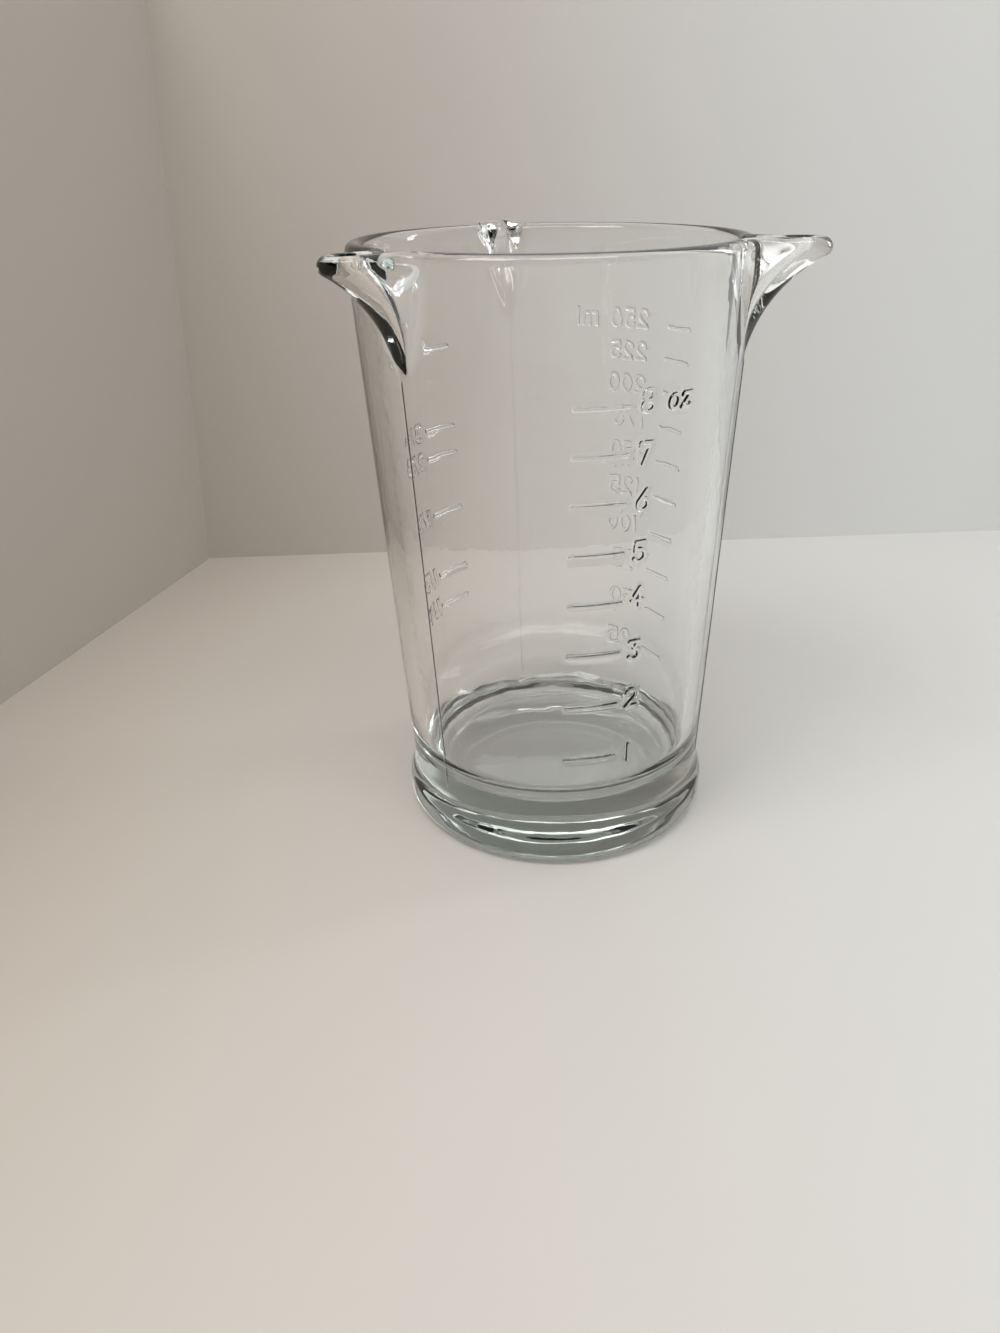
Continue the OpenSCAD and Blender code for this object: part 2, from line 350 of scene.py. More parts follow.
def growing(s, z, low, high):
    """A radius by height: low at the spouts' foot, high at the lip, growing with the square."""
    return low + (high - low) * np.clip((z - s.spout_z) / (s.lip_z - s.spout_z), 0, 1) ** 2


def spout_foot(s, z):
    """Least angle from a spout's middle to where its web meets the wall: opens quickly above
    the spout's foot, then widens evenly to the lip."""
    t = np.clip((z - s.spout_z) / (s.lip_z - s.spout_z), 0, 1)
    width = (s.foot_low + (s.foot_high - s.foot_low) * t) * ease(t / FOOT_OPENING)
    return width / s.wall_r(z)


def with_height(xy, z):
    """Level sections with their heights, one height a row."""
    return np.concatenate([xy, np.broadcast_to(z[:, None, None], xy.shape[:2] + (1,))], -1)


# Raised marks

def bow(cx, cy, rx, ry, a0, a1):
    """Elliptic arc in a numeral's box, angles in degrees, in steps of about 14 degrees."""
    a = np.radians(np.linspace(a0, a1, max(3, int(abs(a1 - a0) / 14)) + 1))
    return [(cx + rx * math.cos(q), cy + ry * math.sin(q)) for q in a]


# Stroke middles in a box one wide and one high. Letters have a width of their own.
SIGNS = {
    "0": [bow(.5, .5, .5, .5, 90, 450)],
    "1": [[(.5, 0), (.5, 1)]],
    "2": [bow(.48, .7, .48, .3, 165, -38) + [(0, 0), (1, 0)]],
    "3": [[(.04, 1), (.94, 1), (.44, .6)] + bow(.46, .3, .5, .3, 92, -150)],
    "4": [[(.72, 0), (.72, 1), (0, .32), (1, .32)]],
    "5": [[(.92, 1), (.12, 1), (.06, .54)] + bow(.44, .32, .52, .32, 128, -152)],
    "6": [[(.82, 1), (.12, .46)] + bow(.5, .29, .47, .29, 150, 510)],
    "7": [[(0, .86), (.06, 1), (1, 1), (.3, 0)]],
    "8": [bow(.5, .75, .43, .25, 270, 630), bow(.5, .26, .5, .26, 90, 450)],
    "/": [[(0, -.05), (1, 1.05)]],
    "o": [bow(.5, .35, .5, .35, 90, 450)],
    "z": [[(0, .6), (.1, .7), (1, .7), (0, 0), (.9, 0), (1, .1)]],
    "m": [[(0, 0), (0, .7)], bow(.25, .45, .25, .25, 180, 0) + [(.5, 0)],
          bow(.75, .45, .25, .25, 180, 0) + [(1, 0)]],
    "l": [[(.5, 0), (.5, 1)]],
    "c": [bow(.5, .35, .5, .35, 45, 315)],
    "u": [[(0, .7)] + bow(.5, .3, .5, .3, 180, 360) + [(1, .7)], [(1, .7), (1, 0)]],
    "p": [[(0, .7), (0, -.3)], bow(.5, .35, .5, .35, 180, 540)],
}
WIDTHS = {"1": .3, "/": .8, "m": 1.45, "l": .2, "z": 1.05, "o": 1.05, "c": .95, "u": .95, "p": .95}
# Gap between two signs, as a share of a numeral's width
SIGN_GAP = 0.52


def written(text, w, h, slant=0.0):
    """Strokes of a text in millimetres, from its left foot on."""
    strokes, x = [], 0.0
    for sign in text:
        wide = w * WIDTHS.get(sign, 1)
        for line in SIGNS[sign]:
            p = np.array(line, float) * [wide, h]
            strokes.append(p + np.stack([x + slant * p[:, 1], 0 * p[:, 1]], -1))
        x += wide + w * SIGN_GAP
    return strokes


def stroke_distance(points, strokes):
    """Distance of each point from the nearest of all strokes' segments."""
    a = np.concatenate([line[:-1] for line in strokes])
    b = np.concatenate([line[1:] for line in strokes])
    d = b - a
    rel = points[:, None] - a[None]
    t = np.clip((rel * d).sum(-1) / np.maximum((d * d).sum(-1), 1e-9), 0, 1)
    return np.linalg.norm(rel - t[..., None] * d, axis=-1).min(1)


# Share of a ridge's half width that is flat on top
FLAT_TOP = 0.52


def ridge(distance, half_w):
    """Height share of a pressed ridge across its width: a flat top, then a smooth steep flank."""
    return 1 - ease((distance / half_w - FLAT_TOP) / (1 - FLAT_TOP))


# Rows of points beside a stroke's middle, in half widths, and their bearings round its ends
ACROSS = np.array([0, .4, .55, .66, .75, .84, .93, 1.03])
TURNS = np.radians(np.arange(0, 360, 24))
# Two parts of a stroke make a corner when they turn by more than this
CORNER = math.radians(20)
# How far a point may lie off its own row, and the cell that holds one point only
ROW_SLACK = 0.025
CELL = 0.06
SAME_POINT = 1e-6
# Distances between points along curved strokes and scale lines, between strokes, and on plain wall
CURVE_STEP = 0.26
LINE_STEP = 0.6
BETWEEN_STEP = 0.62
COARSE_STEP = 1.5


def stations(line, step):
    """Even points along a stroke, the unit vectors across it there, and its ends and corners."""
    d = np.diff(line, axis=0)
    size = np.linalg.norm(d, axis=1)
    d, size = d[size > SAME_POINT], size[size > SAME_POINT]
    along = np.r_[0, np.cumsum(size)]
    nodes = line[0] + np.r_[[[0, 0]], np.cumsum(d, 0)]
    heading = d / size[:, None]
    t = np.linspace(0, along[-1], max(2, math.ceil(along[-1] / step)) + 1)
    points = np.stack([np.interp(t, along, nodes[:, k]) for k in (0, 1)], -1)
    middle = (along[1:] + along[:-1]) / 2
    east, north = (np.interp(t, middle, heading[:, k]) for k in (0, 1))
    side = np.stack([-north, east], -1)
    side /= np.maximum(np.linalg.norm(side, axis=1, keepdims=True), SAME_POINT)
    sharp = np.r_[True, (heading[1:] * heading[:-1]).sum(1) < math.cos(CORNER), True]
    return points, side, nodes[sharp]


def stroke_points(strokes, step, half_w):
    """Points that follow strokes: stations along each stroke with rows beside it, and circles
    round its ends and corners. A point that lies nearer to the strokes than its own row says is
    dropped, and so is one that falls into a cell with another. Also their distances."""
    found, rows = [], []
    beside = np.concatenate([-ACROSS[:0:-1], ACROSS]) * half_w
    circle_r = ACROSS[1:] * half_w
    circles = unit(TURNS) * circle_r[:, None, None]
    for line in strokes:
        points, side, corners = stations(line, step)
        found.append((points[:, None] + side[:, None] * beside[:, None]).reshape(-1, 2))
        rows.append(np.tile(np.abs(beside), len(points)))
        found.append((corners[:, None, None] + circles).reshape(-1, 2))
        rows.append(np.tile(np.repeat(circle_r, len(TURNS)), len(corners)))
    points, own = np.concatenate(found), np.concatenate(rows)
    far = stroke_distance(points, strokes)
    keep = np.abs(far - own) < ROW_SLACK
    points, far = points[keep], far[keep]
    _, first = np.unique(np.round(points / CELL).astype(int), axis=0, return_index=True)
    return points[first], far[first]


def lattice(lo, hi, step):
    """Staggered rows of points over a box."""
    rows = np.arange(lo[1], hi[1] + step, step * math.sqrt(3) / 2)
    cols = np.arange(lo[0], hi[0] + step, step)
    x, y = np.meshgrid(cols, rows)
    x = x + step / 2 * (np.arange(len(rows)) % 2)[:, None]
    return np.stack([x.ravel(), y.ravel()], -1)


# Panels of the three scales, anticlockwise from the front
OUNCES, MILLILITRES, CUPS = range(SPOUTS)
# Places of numerals and words: bearings from their panel's middle, and heights in millimetres
OUNCE_MIDDLE = math.radians(10.4)
OUNCE_RISE = {8: 0.7, 7: 0.0, 6: 0.4, 5: -0.1, 4: 0.8, 3: 0.1, 2: 0.8, 1: 0.1}
OZ_START = math.radians(17.0)
OZ_DROP = 1.3
MILLILITRE_START = math.radians(6.8)
ML_START = math.radians(27.3)
MILLILITRE_RISE = 1.1
CUP_NUMERAL_START = math.radians(-14)
CUP_WORD_START = math.radians(-8)
# By how much each ounce numeral is taller than the one below, and the ounce of the plain height
OUNCE_GROWTH = 0.012
PLAIN_OUNCE = 4
# Sizes, slants and drops as shares of a plain numeral's
OZ_WIDTH = 0.81
OZ_HEIGHT = 0.9
OZ_SLANT = 0.12
MILLILITRE_WIDTH = 1.1
CUP_NUMERAL_SIZE = 0.9
CUP_NUMERAL_DROP = 0.45
CUP_WORD_DROP = 0.4


def raised(panel, level, start, strokes, tall, plain=False):
    """One raised mark: its strokes with the bearing and height of their origin, how far they
    stand out, and whether it is a plain scale line."""
    return SimpleNamespace(bearing=FIRST_PANEL + THIRD_TURN * panel + start, level=level,
                           strokes=strokes, tall=tall, plain=plain)


def scale_line(panel, level, start, size, tall):
    """A scale line of a given length, from its start on."""
    return raised(panel, level, start, [np.array([[0, 0], [size, 0]])], tall, True)


def ounce_scale(s, m):
    """Lines and numerals 1 to 8 on the first panel, and the word by the topmost."""
    marks = []
    for i in range(1, 9):
        z = fill_level(s, i * OUNCE)
        high = m.numeral_h * (1 + OUNCE_GROWTH * (i - PLAIN_OUNCE))
        wide = m.numeral_w * WIDTHS.get(str(i), 1)
        low, start = z + OUNCE_RISE[i] - high / 2, OUNCE_MIDDLE - wide / 2 / s.wall_r(z)
        line_start = m.line_end - m.line_l / s.wall_r(z)
        numeral = written(str(i), m.numeral_w, high)
        marks.append(scale_line(OUNCES, z, line_start, m.line_l, m.line_h))
        marks.append(raised(OUNCES, low, start, numeral, m.line_h))
    word = written("oz", m.numeral_w * OZ_WIDTH, high * OZ_HEIGHT, OZ_SLANT)
    return marks + [raised(OUNCES, z - OZ_DROP, OZ_START, word, m.line_h)]


def millilitre_scale(s, m):
    """Worn lines and numerals 25 to 250 on the second panel, and the word by the topmost."""
    marks = []
    for i in range(1, 11):
        z = fill_level(s, i * MILLILITRES_25)
        low = z + MILLILITRE_RISE - m.numeral_h / 2
        numerals = written(str(25 * i), m.numeral_w * MILLILITRE_WIDTH, m.numeral_h)
        marks.append(scale_line(MILLILITRES, z, m.worn_start, m.worn_l, m.worn_h))
        marks.append(raised(MILLILITRES, low, MILLILITRE_START, numerals, m.worn_h))
    word = written("ml", m.numeral_w, m.numeral_h)
    return marks + [raised(MILLILITRES, low, ML_START, word, m.worn_h)]


def cup_scale(s, m):
    """Lines and fractions of a cup on the third panel, and the word by the topmost."""
    z = fill_level(s, CUP)
    word = written("cup", m.numeral_w, m.numeral_h)
    marks = [raised(CUPS, z - m.numeral_h * CUP_WORD_DROP, CUP_WORD_START, word, m.line_h)]
    w, h = m.numeral_w * CUP_NUMERAL_SIZE, m.numeral_h * CUP_NUMERAL_SIZE
    shares = {"1": 1, "3/4": 3 / 4, "2/3": 2 / 3, "1/2": 1 / 2, "1/3": 1 / 3, "1/4": 1 / 4}
    for text, share in shares.items():
        z = fill_level(s, share * CUP)
        low = z - m.numeral_h * CUP_NUMERAL_DROP
        marks.append(scale_line(CUPS, z, m.cup_start, m.line_l, m.line_h))
        marks.append(raised(CUPS, low, CUP_NUMERAL_START, written(text, w, h), m.line_h))
    return marks


# Room round a mark in its box, and between its strokes' flanks and the points between strokes
MARK_PAD = 0.2
BETWEEN_GAP = 0.32
# A seam's rows of points in half widths and its steps up, how far it starts above the waist and
# ends below the spout, and the height over which it fades at both ends
SEAM_ACROSS = np.array([-2.2, -1.5, -1, -.75, -.5, -.25, 0, .25, .5, .75, 1, 1.5, 2.2])
SEAM_STEP = 0.9
SEAM_START = 0.7
SEAM_END = 0.5
SEAM_FADE = 1.5


def mark_points(s, m, mark):
    """Points of the unrolled wall round one mark, close together on its strokes: rows of
    (bearing past the cut, height, height of the ridge)."""
    half = m.line_w / 2
    every = np.concatenate(mark.strokes)
    pad = half + MARK_PAD
    near, distance = stroke_points(mark.strokes, LINE_STEP if mark.plain else CURVE_STEP, half)
    between = lattice(every.min(0) - pad, every.max(0) + pad, BETWEEN_STEP)
    between = between[stroke_distance(between, mark.strokes) > half + BETWEEN_GAP]
    local = np.concatenate([near, between])
    tall = np.r_[mark.tall * ridge(distance, half), np.zeros(len(between))]
    a = (mark.bearing + local[:, 0] / s.wall_r(mark.level) - CUT) % FULL_TURN
    z = mark.level + local[:, 1] * math.cos(s.slope)
    return np.stack([a, z, tall], -1)


def seam_points(s, m, spout):
    """The same for the mould seam under one spout, from the waist up to the spout's foot."""
    low, high = s.waist_top[1], s.spout_z
    half = m.seam_w / 2
    x, z = np.meshgrid(SEAM_ACROSS * half, np.arange(low + SEAM_START, high - SEAM_END, SEAM_STEP))
    fade = ease((z - low) / SEAM_FADE) * ease((high - z) / SEAM_FADE)
    tall = m.seam_h * ridge(np.abs(x), half) * fade
    a = (FIRST_SPOUT + THIRD_TURN * spout + x / s.wall_r(z) - CUT) % FULL_TURN
    return np.stack([a, z, tall], -1).reshape(-1, 3)


def relief_points(s, m):
    """Points of the outer wall where it carries marks and seams, and the boxes of bearings and
    heights that the wall's coarse points keep out of."""
    marks = ounce_scale(s, m) + millilitre_scale(s, m) + cup_scale(s, m)
    found = [mark_points(s, m, mark) for mark in marks]
    boxes = [(*p.min(0)[:2], *p.max(0)[:2]) for p in found]
    for spout in range(SPOUTS):
        p = seam_points(s, m, spout)
        found.append(p)
        boxes.append((p[:, 0].min(), s.waist_top[1], p[:, 0].max(), s.spout_z))
    return np.concatenate(found), boxes


# The vessel's surface

# Waves of pressing: turns round the axis, how their height falls with them, how far a streak
# drifts per millimetre of height, and how it swells and sinks up the wall
WAVE_TURNS = (3, 5, 8, 11, 14, 19, 26, 34)
WAVE_FALL = 0.9
WAVE_DRIFT = 0.03
SWELL_SHARE = 0.5
SWELL_H = 17.0
SWELL_START = 6.0
OUTER_WAVES = 5
INNER_WAVES = 9
# Share of the waves that the base keeps, how many points of the foot's lower roll they leave
# alone, and the height below the lip over which they die away
BASE_WAVES = 0.8
STILL_ROLL = 6
LIP_CALM = 10.0

BASE_COLUMNS = 180
BASE_BEARINGS = FULL_TURN * np.arange(BASE_COLUMNS) / BASE_COLUMNS
# Height to which the marked wall goes up between the spouts
PANEL_TOP = 103.0
# Radius at which a wall is unrolled, so that bearings and heights compare
MEAN_R = 33.0
# By how much each point of a border is moved on, so that bearings grow where it runs upright
HAIR = 1e-9
# How far coarse points start from the cut and from a ring, how near they may come to them in
# the end, and how far they keep from a box
CUT_START = 0.9
CUT_LEAST = 0.7
RING_START = 1.2
RING_LEAST = 0.9
BOX_CLEAR = 0.5
# How far the box of a spout's foot reaches below and above it
SPOUT_BELOW = 0.4
SPOUT_ABOVE = 1


def waves(a, z, seed, height):
    """Soft waves that pressing leaves in a surface: a few tall streaks round the axis, each a
    sine of a whole number of turns that drifts and swells with height, summed."""
    rng = np.random.default_rng(seed)
    out = np.zeros(np.broadcast(a, z).shape)
    for turns in WAVE_TURNS:
        phase = rng.uniform(0, FULL_TURN)
        drift = rng.uniform(-WAVE_DRIFT, WAVE_DRIFT)
        swell = 1 + SWELL_SHARE * np.sin(z / SWELL_H + rng.uniform(0, SWELL_START))
        out = out + np.sin(turns * a + phase + drift * z) * swell / turns ** WAVE_FALL
    return height * out


class Shell:
    """A surface gathered part by part: vertices in millimetres, quads and triangles."""

    def __init__(self):
        self.verts, self.quads, self.tris = [], [], []
        self.count = 0

    def put(self, points):
        """Adds vertices and returns their numbers, in the points' own rows and columns."""
        self.verts.append(points.reshape(-1, 3))
        first, self.count = self.count, self.count + len(self.verts[-1])
        return np.arange(first, self.count).reshape(points.shape[:-1])

    def band(self, ids, kept=None):
        """Adds the quads of a closed band, all or those kept. Its rows follow each other on the
        way from under the base, over the lip and down the bowl."""
        after = np.roll(ids, -1, 1)
        quads = np.stack([ids[:-1], after[:-1], after[1:], ids[1:]], -1)
        self.quads.append(quads.reshape(-1, 4) if kept is None else quads[kept])

    def close(self, ring, height):
        """Closes a ring, anticlockwise as seen from outside, with a fan to a point on the axis."""
        pole = self.put(np.array([[0, 0, height]]))
        self.tris.append(np.stack([ring, np.roll(ring, -1), np.full_like(ring, pole[0])], -1))

    def turned(self, profile, share, seed, wave):
        """Turns a profile of radii and heights round the axis, with a share of waves a row."""
        a = BASE_BEARINGS + CUT
        r = profile[:, :1] + column(share) * waves(a, profile[:, 1:], seed, wave)
        ids = self.put(with_height(unit(a) * r[..., None], profile[:, 1]))
        self.band(ids)
        return ids

    def whole(self):
        """All vertices, quads and triangles."""
        return [np.concatenate(part) for part in (self.verts, self.quads, self.tris)]


def cone_patch(upper, low_ring, z_low, z_high, inner, first_id):
    """Delaunay triangles of an unrolled cone between a lower ring and an upper border, through
    inner points. Every point is (bearing past the cut, height). The upper border, points and numbers,
    runs from the cut once round to the cut again. Returns the triangles, and the points of the
    cut's own line, whose numbers follow the inner ones'."""
    top, top_ids = upper
    side = np.linspace(z_low, z_high, int((z_high - z_low) / COARSE_STEP) + 1)[1:-1]
    side_ids = first_id + len(inner) + np.arange(len(side))
    around = np.concatenate([
        np.stack([np.r_[BASE_BEARINGS, FULL_TURN], np.full(BASE_COLUMNS + 1, z_low)], -1),
        np.stack([np.full(len(side), FULL_TURN), side], -1),
        top[::-1],
        np.stack([np.zeros(len(side)), side[::-1]], -1)])
    around_ids = np.concatenate([low_ring, low_ring[:1], side_ids, top_ids[::-1], side_ids[::-1]])
    points = np.concatenate([around, inner]) * [MEAN_R, 1.0]
    ids = np.concatenate([around_ids, first_id + np.arange(len(inner))])
    ring = np.arange(len(around))
    edges = np.stack([ring, np.roll(ring, -1)], -1)
    made = delaunay_2d_cdt(points.tolist(), edges.tolist(), [], 0, SAME_POINT)
    if len(made[0]) != len(points):
        raise RuntimeError("points of the wall fell together")
    if not np.allclose(np.array(made[0]), points, atol=1e-3):
        raise RuntimeError("the wall's points changed their order")
    tris = np.array(made[2])
    middle = points[tris].mean(1)
    border_z = np.interp(middle[:, 0] / MEAN_R, top[:, 0] + HAIR * np.arange(len(top)), top[:, 1])
    return ids[tris[middle[:, 1] <= border_z]], np.stack([np.zeros(len(side)), side], -1)


def coarse_points(z_low, z_high, boxes):
    """Even points of an unrolled wall, clear of its rings, its cut and the given boxes."""
    size = FULL_TURN * MEAN_R
    points = lattice((CUT_START, z_low + RING_START), (size - CUT_START, z_high - RING_START), COARSE_STEP)
    inside = (points[:, 0] < size - CUT_LEAST) & (points[:, 1] < z_high - RING_LEAST)
    points = points[inside] / [MEAN_R, 1]
    keep = np.ones(len(points), bool)
    gap = np.array([BOX_CLEAR / MEAN_R, BOX_CLEAR])
    for box in boxes:
        keep &= ~((points > box[:2] - gap) & (points < box[2:] + gap)).all(1)
    return points[keep]


def add_base(shell, s, wave):
    """Under the base, up the foot and the waist: a shallow dome, the flat resting ring, two
    rolls with the upright band between them and the hollow waist. Returns its topmost ring."""
    low_c = [s.foot_c[0], s.foot_r]
    dome_c = [0, s.hollow_h - s.dome_r]
    dome = arc(dome_c, s.dome_r, math.pi / 2, math.pi / 2 - s.dome_a, STEPS.dome)[1:]
    rest = np.linspace([s.hollow_r, 0], [s.foot_c[0], 0], STEPS.rest + 1)[1:-1]
    low_roll = arc(low_c, s.foot_r, -math.pi / 2, 0, STEPS.low_roll)
    high_roll = arc(s.foot_c, s.foot_r, 0, s.waist_a, STEPS.high_roll)
    waist = arc(s.waist_c, s.waist_r, math.pi + s.waist_a, math.pi - s.slope, STEPS.waist)[1:]
    profile = np.concatenate([dome, rest, low_roll, high_roll, waist])
    still = len(dome) + len(rest) + STILL_ROLL
    share = (np.arange(len(profile)) >= still).astype(float)
    ids = shell.turned(profile, share, OUTER_WAVES, wave * BASE_WAVES)
    shell.close(ids[0, ::-1], s.hollow_h)
    return ids[-1]


def sections(s, line, wall_r, low_r, high_r, web_out):
    """Level sections with spouts, one for each point of a spout's lowest line."""
    reach, z = line.T
    nose = growing(s, z, low_r, high_r)
    web = growing(s, z, s.web_low_r, s.web_r) + web_out
    return with_height(rings(wall_r(z), reach, nose, web, spout_foot(s, z)), z)


def lip_rows(s, outer, inner):
    """Half rounds over the lip between two rings: the cosine goes across, the sine up."""
    a = math.pi * np.arange(1, STEPS.lip) / STEPS.lip
    lip = (outer + inner) / 2 + (outer - inner) / 2 * np.cos(a)[:, None, None]
    lip[..., 2] = s.lip_z + s.wall_t / 2 * np.sin(a)[:, None]
    return lip


def wall_border(cols, up):
    """Rows and columns of the border on which the marked wall ends: along each spout's foot, up
    its side, along the panel and down to the next spout, from the cut round to the cut again."""
    third, sector = cols // SPOUTS, 2 * HALF_COLUMNS
    panel, rise = np.arange(sector + 1, third), np.arange(1, up + 1)
    row = np.r_[np.zeros(sector + 1, int), rise, np.full(len(panel), up), rise[::-1]]
    col = np.r_[np.arange(sector + 1), np.full(up, sector), panel, np.full(up, third)]
    col = (col + third * np.arange(SPOUTS)[:, None]).ravel()
    return np.r_[np.tile(row, SPOUTS), 0], np.r_[col, cols]


def add_spouts(shell, s, wave):
    """Spouts and lip: level sections up the keel's line, half rounds over the lip, and level
    sections down the channel's line inside. Between the spouts the first rows are left out,
    because the marked wall goes on up there. Returns the borders, points and numbers, on which
    the marked wall and the bowl's wall end."""
    keel = keel_line(s)
    outer = sections(s, keel, s.wall_r, s.nose_low_r, s.nose_r, 0)
    inner = sections(s, channel_line(s)[::-1], s.bowl_r, s.channel_low_r, s.channel_r, s.wall_t)
    body = np.concatenate([outer, lip_rows(s, outer[-1], inner[0]), inner])
    rows, cols = body.shape[:2]
    z, a = body[..., 2], np.arctan2(body[..., 1], body[..., 0])
    outside = np.arange(rows)[:, None] < len(outer) + STEPS.lip // 2
    push = np.where(outside, waves(a, z, OUTER_WAVES, wave), waves(a, z, INNER_WAVES, wave))
    body[..., :2] += unit(a) * (ease((s.lip_z - z) / LIP_CALM) * push)[..., None]
    ids = shell.put(body)
    up = int(np.searchsorted(keel[:, 1], PANEL_TOP))
    kept = np.ones((rows - 1, cols), bool)
    kept[:up] = np.arange(cols) % (cols // SPOUTS) < 2 * HALF_COLUMNS
    shell.band(ids, kept)
    bearings = np.r_[column_bearings(), FULL_TURN]
    row, col = wall_border(cols, up)
    top = np.stack([bearings[col], keel[row, 1]], -1)
    mouth = np.stack([bearings, np.full(cols + 1, s.spout_z)], -1)
    return (top, ids[row, col % cols]), (mouth, np.r_[ids[-1], ids[-1, 0]])


def add_marked_wall(shell, s, m, low_ring, upper, wave):
    """Outer wall between waist and spouts: the cone pushed out by the waves, and by the height of
    each ridge at right angles to the wall."""
    marked, boxes = relief_points(s, m)
    high = upper[0][:, 1].max()
    for spout in range(SPOUTS):
        left = THIRD_TURN * spout
        boxes.append((left, s.spout_z - SPOUT_BELOW, left + 2 * SECTOR, high + SPOUT_ABOVE))
    plain = coarse_points(s.waist_top[1], high, boxes)
    inner = np.concatenate([marked[:, :2], plain])
    patch, side = cone_patch(upper, low_ring, s.waist_top[1], s.spout_z, inner, shell.count)
    a, z = np.concatenate([inner, side]).T
    a = a + CUT
    tall = np.r_[marked[:, 2], np.zeros(len(plain) + len(side))]
    r = s.wall_r(z) + waves(a, z, OUTER_WAVES, wave) + tall * math.cos(s.slope)
    shell.put(np.stack([r * np.cos(a), r * np.sin(a), z - tall * math.sin(s.slope)], -1))
    shell.tris.append(patch)


def add_bowl(shell, s, upper, wave):
    """Bowl: the inner wall's cone, the rounded corner and the flat floor, which stays calm in
    the middle."""
    corner = arc(s.corner_c, s.corner_r, -s.slope, -math.pi / 2, STEPS.corner)
    floor = np.linspace([s.corner_c[0], s.floor_t], [0, s.floor_t], STEPS.floor + 1)[1:-1]
    profile = np.concatenate([corner, floor])
    ids = shell.turned(profile, ease(profile[:, 0] / s.corner_c[0]), INNER_WAVES, wave)
    shell.close(ids[-1], s.floor_t)
    plain = coarse_points(corner[0, 1], s.spout_z, [])
    patch, side = cone_patch(upper, ids[0], corner[0, 1], s.spout_z, plain, shell.count)
    a, z = np.concatenate([plain, side]).T
    a = a + CUT
    r = s.bowl_r(z) + waves(a, z, INNER_WAVES, wave)
    shell.put(np.stack([r * np.cos(a), r * np.sin(a), z], -1))
    shell.tris.append(patch[:, ::-1])


def glass_surface(s, m, wave):
    """The whole glass as one closed surface. Returns vertices in millimetres, quads and triangles."""
    shell = Shell()
    low_ring = add_base(shell, s, wave)
    wall_top, bowl_top = add_spouts(shell, s, wave)
    add_marked_wall(shell, s, m, low_ring, wall_top, wave)
    add_bowl(shell, s, bowl_top, wave)
    return shell.whole()


def add_piece(name, verts, quads, tris):
    """A smooth mesh object from vertices in millimetres, quads and triangles."""
    mesh = bpy.data.meshes.new(name)
    sizes = np.r_[np.full(len(quads), 4), np.full(len(tris), 3)]
    starts = np.r_[0, np.cumsum(sizes)[:-1]]
    corners = np.r_[quads.ravel(), tris.ravel()]
    mesh.vertices.add(len(verts))
    mesh.vertices.foreach_set("co", (verts * MM).astype(np.float32).ravel())
    mesh.loops.add(len(corners))
    mesh.loops.foreach_set("vertex_index", corners.astype(np.int32))
    mesh.polygons.add(len(sizes))
    mesh.polygons.foreach_set("loop_start", starts.astype(np.int32))
    mesh.update(calc_edges=True)
    mesh.polygons.foreach_set("use_smooth", np.ones(len(sizes), bool))
    if mesh.validate():
        raise RuntimeError(name + " has faulty faces")
    obj = bpy.data.objects.new(name, mesh)
    bpy.context.scene.collection.objects.link(obj)
    return obj


# Materials and light

class Graph:
    """Short ways to fill a node tree. Inputs take a value or another node's output."""

    def __init__(self, tree):
        self.tree = tree

    def node(self, kind, inputs=(), **settings):
        """Adds a shader node with its own settings and its inputs, by name or in order."""
        made = self.tree.nodes.new("ShaderNode" + kind)
        for key, value in settings.items():
            setattr(made, key, value)
        for key, value in inputs.items() if isinstance(inputs, dict) else enumerate(inputs):
            if isinstance(value, bpy.types.NodeSocket):
                self.tree.links.new(value, made.inputs[key])
            else:
                made.inputs[key].default_value = value
        return made

    def calc(self, kind, *values, clamp=False):
        """Adds a Math node and gives its result."""
        return self.node("Math", values, operation=kind, use_clamp=clamp).outputs[0]

    def vector(self, kind, *values, result="Vector"):
        """Adds a Vector Math node and gives its result."""
        return self.node("VectorMath", values, operation=kind).outputs[result]

    def scaled(self, colour, factor):
        """Multiplies a colour by a factor."""
        inputs = {"Vector": colour, "Scale": factor}
        return self.node("VectorMath", inputs, operation="SCALE").outputs["Vector"]

    def step(self, value, first, last):
        """A smooth step from 0 at the first value to 1 at the last."""
        inputs = {"Value": value, "From Min": first, "From Max": last}
        return self.node("MapRange", inputs, interpolation_type="SMOOTHSTEP").outputs["Result"]

    def mix(self, factor, first, second):
        """Mixes two colours by a factor."""
        inputs = {"Factor": factor, 6: first, 7: second}
        return self.node("Mix", inputs, data_type="RGBA").outputs[2]

    def ramp(self, value, stops, kind="LINEAR"):
        """Colour by a value from 0 to 1, from stops of (place, colour)."""
        made = self.node("ValToRGB", [value])
        made.color_ramp.interpolation = kind
        bar = made.color_ramp.elements
        while len(bar) < len(stops):
            bar.new(0.5)
        for stop, (place, colour) in zip(bar, stops):
            stop.position = place
            stop.color = colour
        return made.outputs["Color"]


def new_material(name):
    """An empty node material and the graph of its nodes."""
    mat = bpy.data.materials.new(name)
    mat.use_nodes = True
    mat.node_tree.nodes.clear()
    return mat, Graph(mat.node_tree)


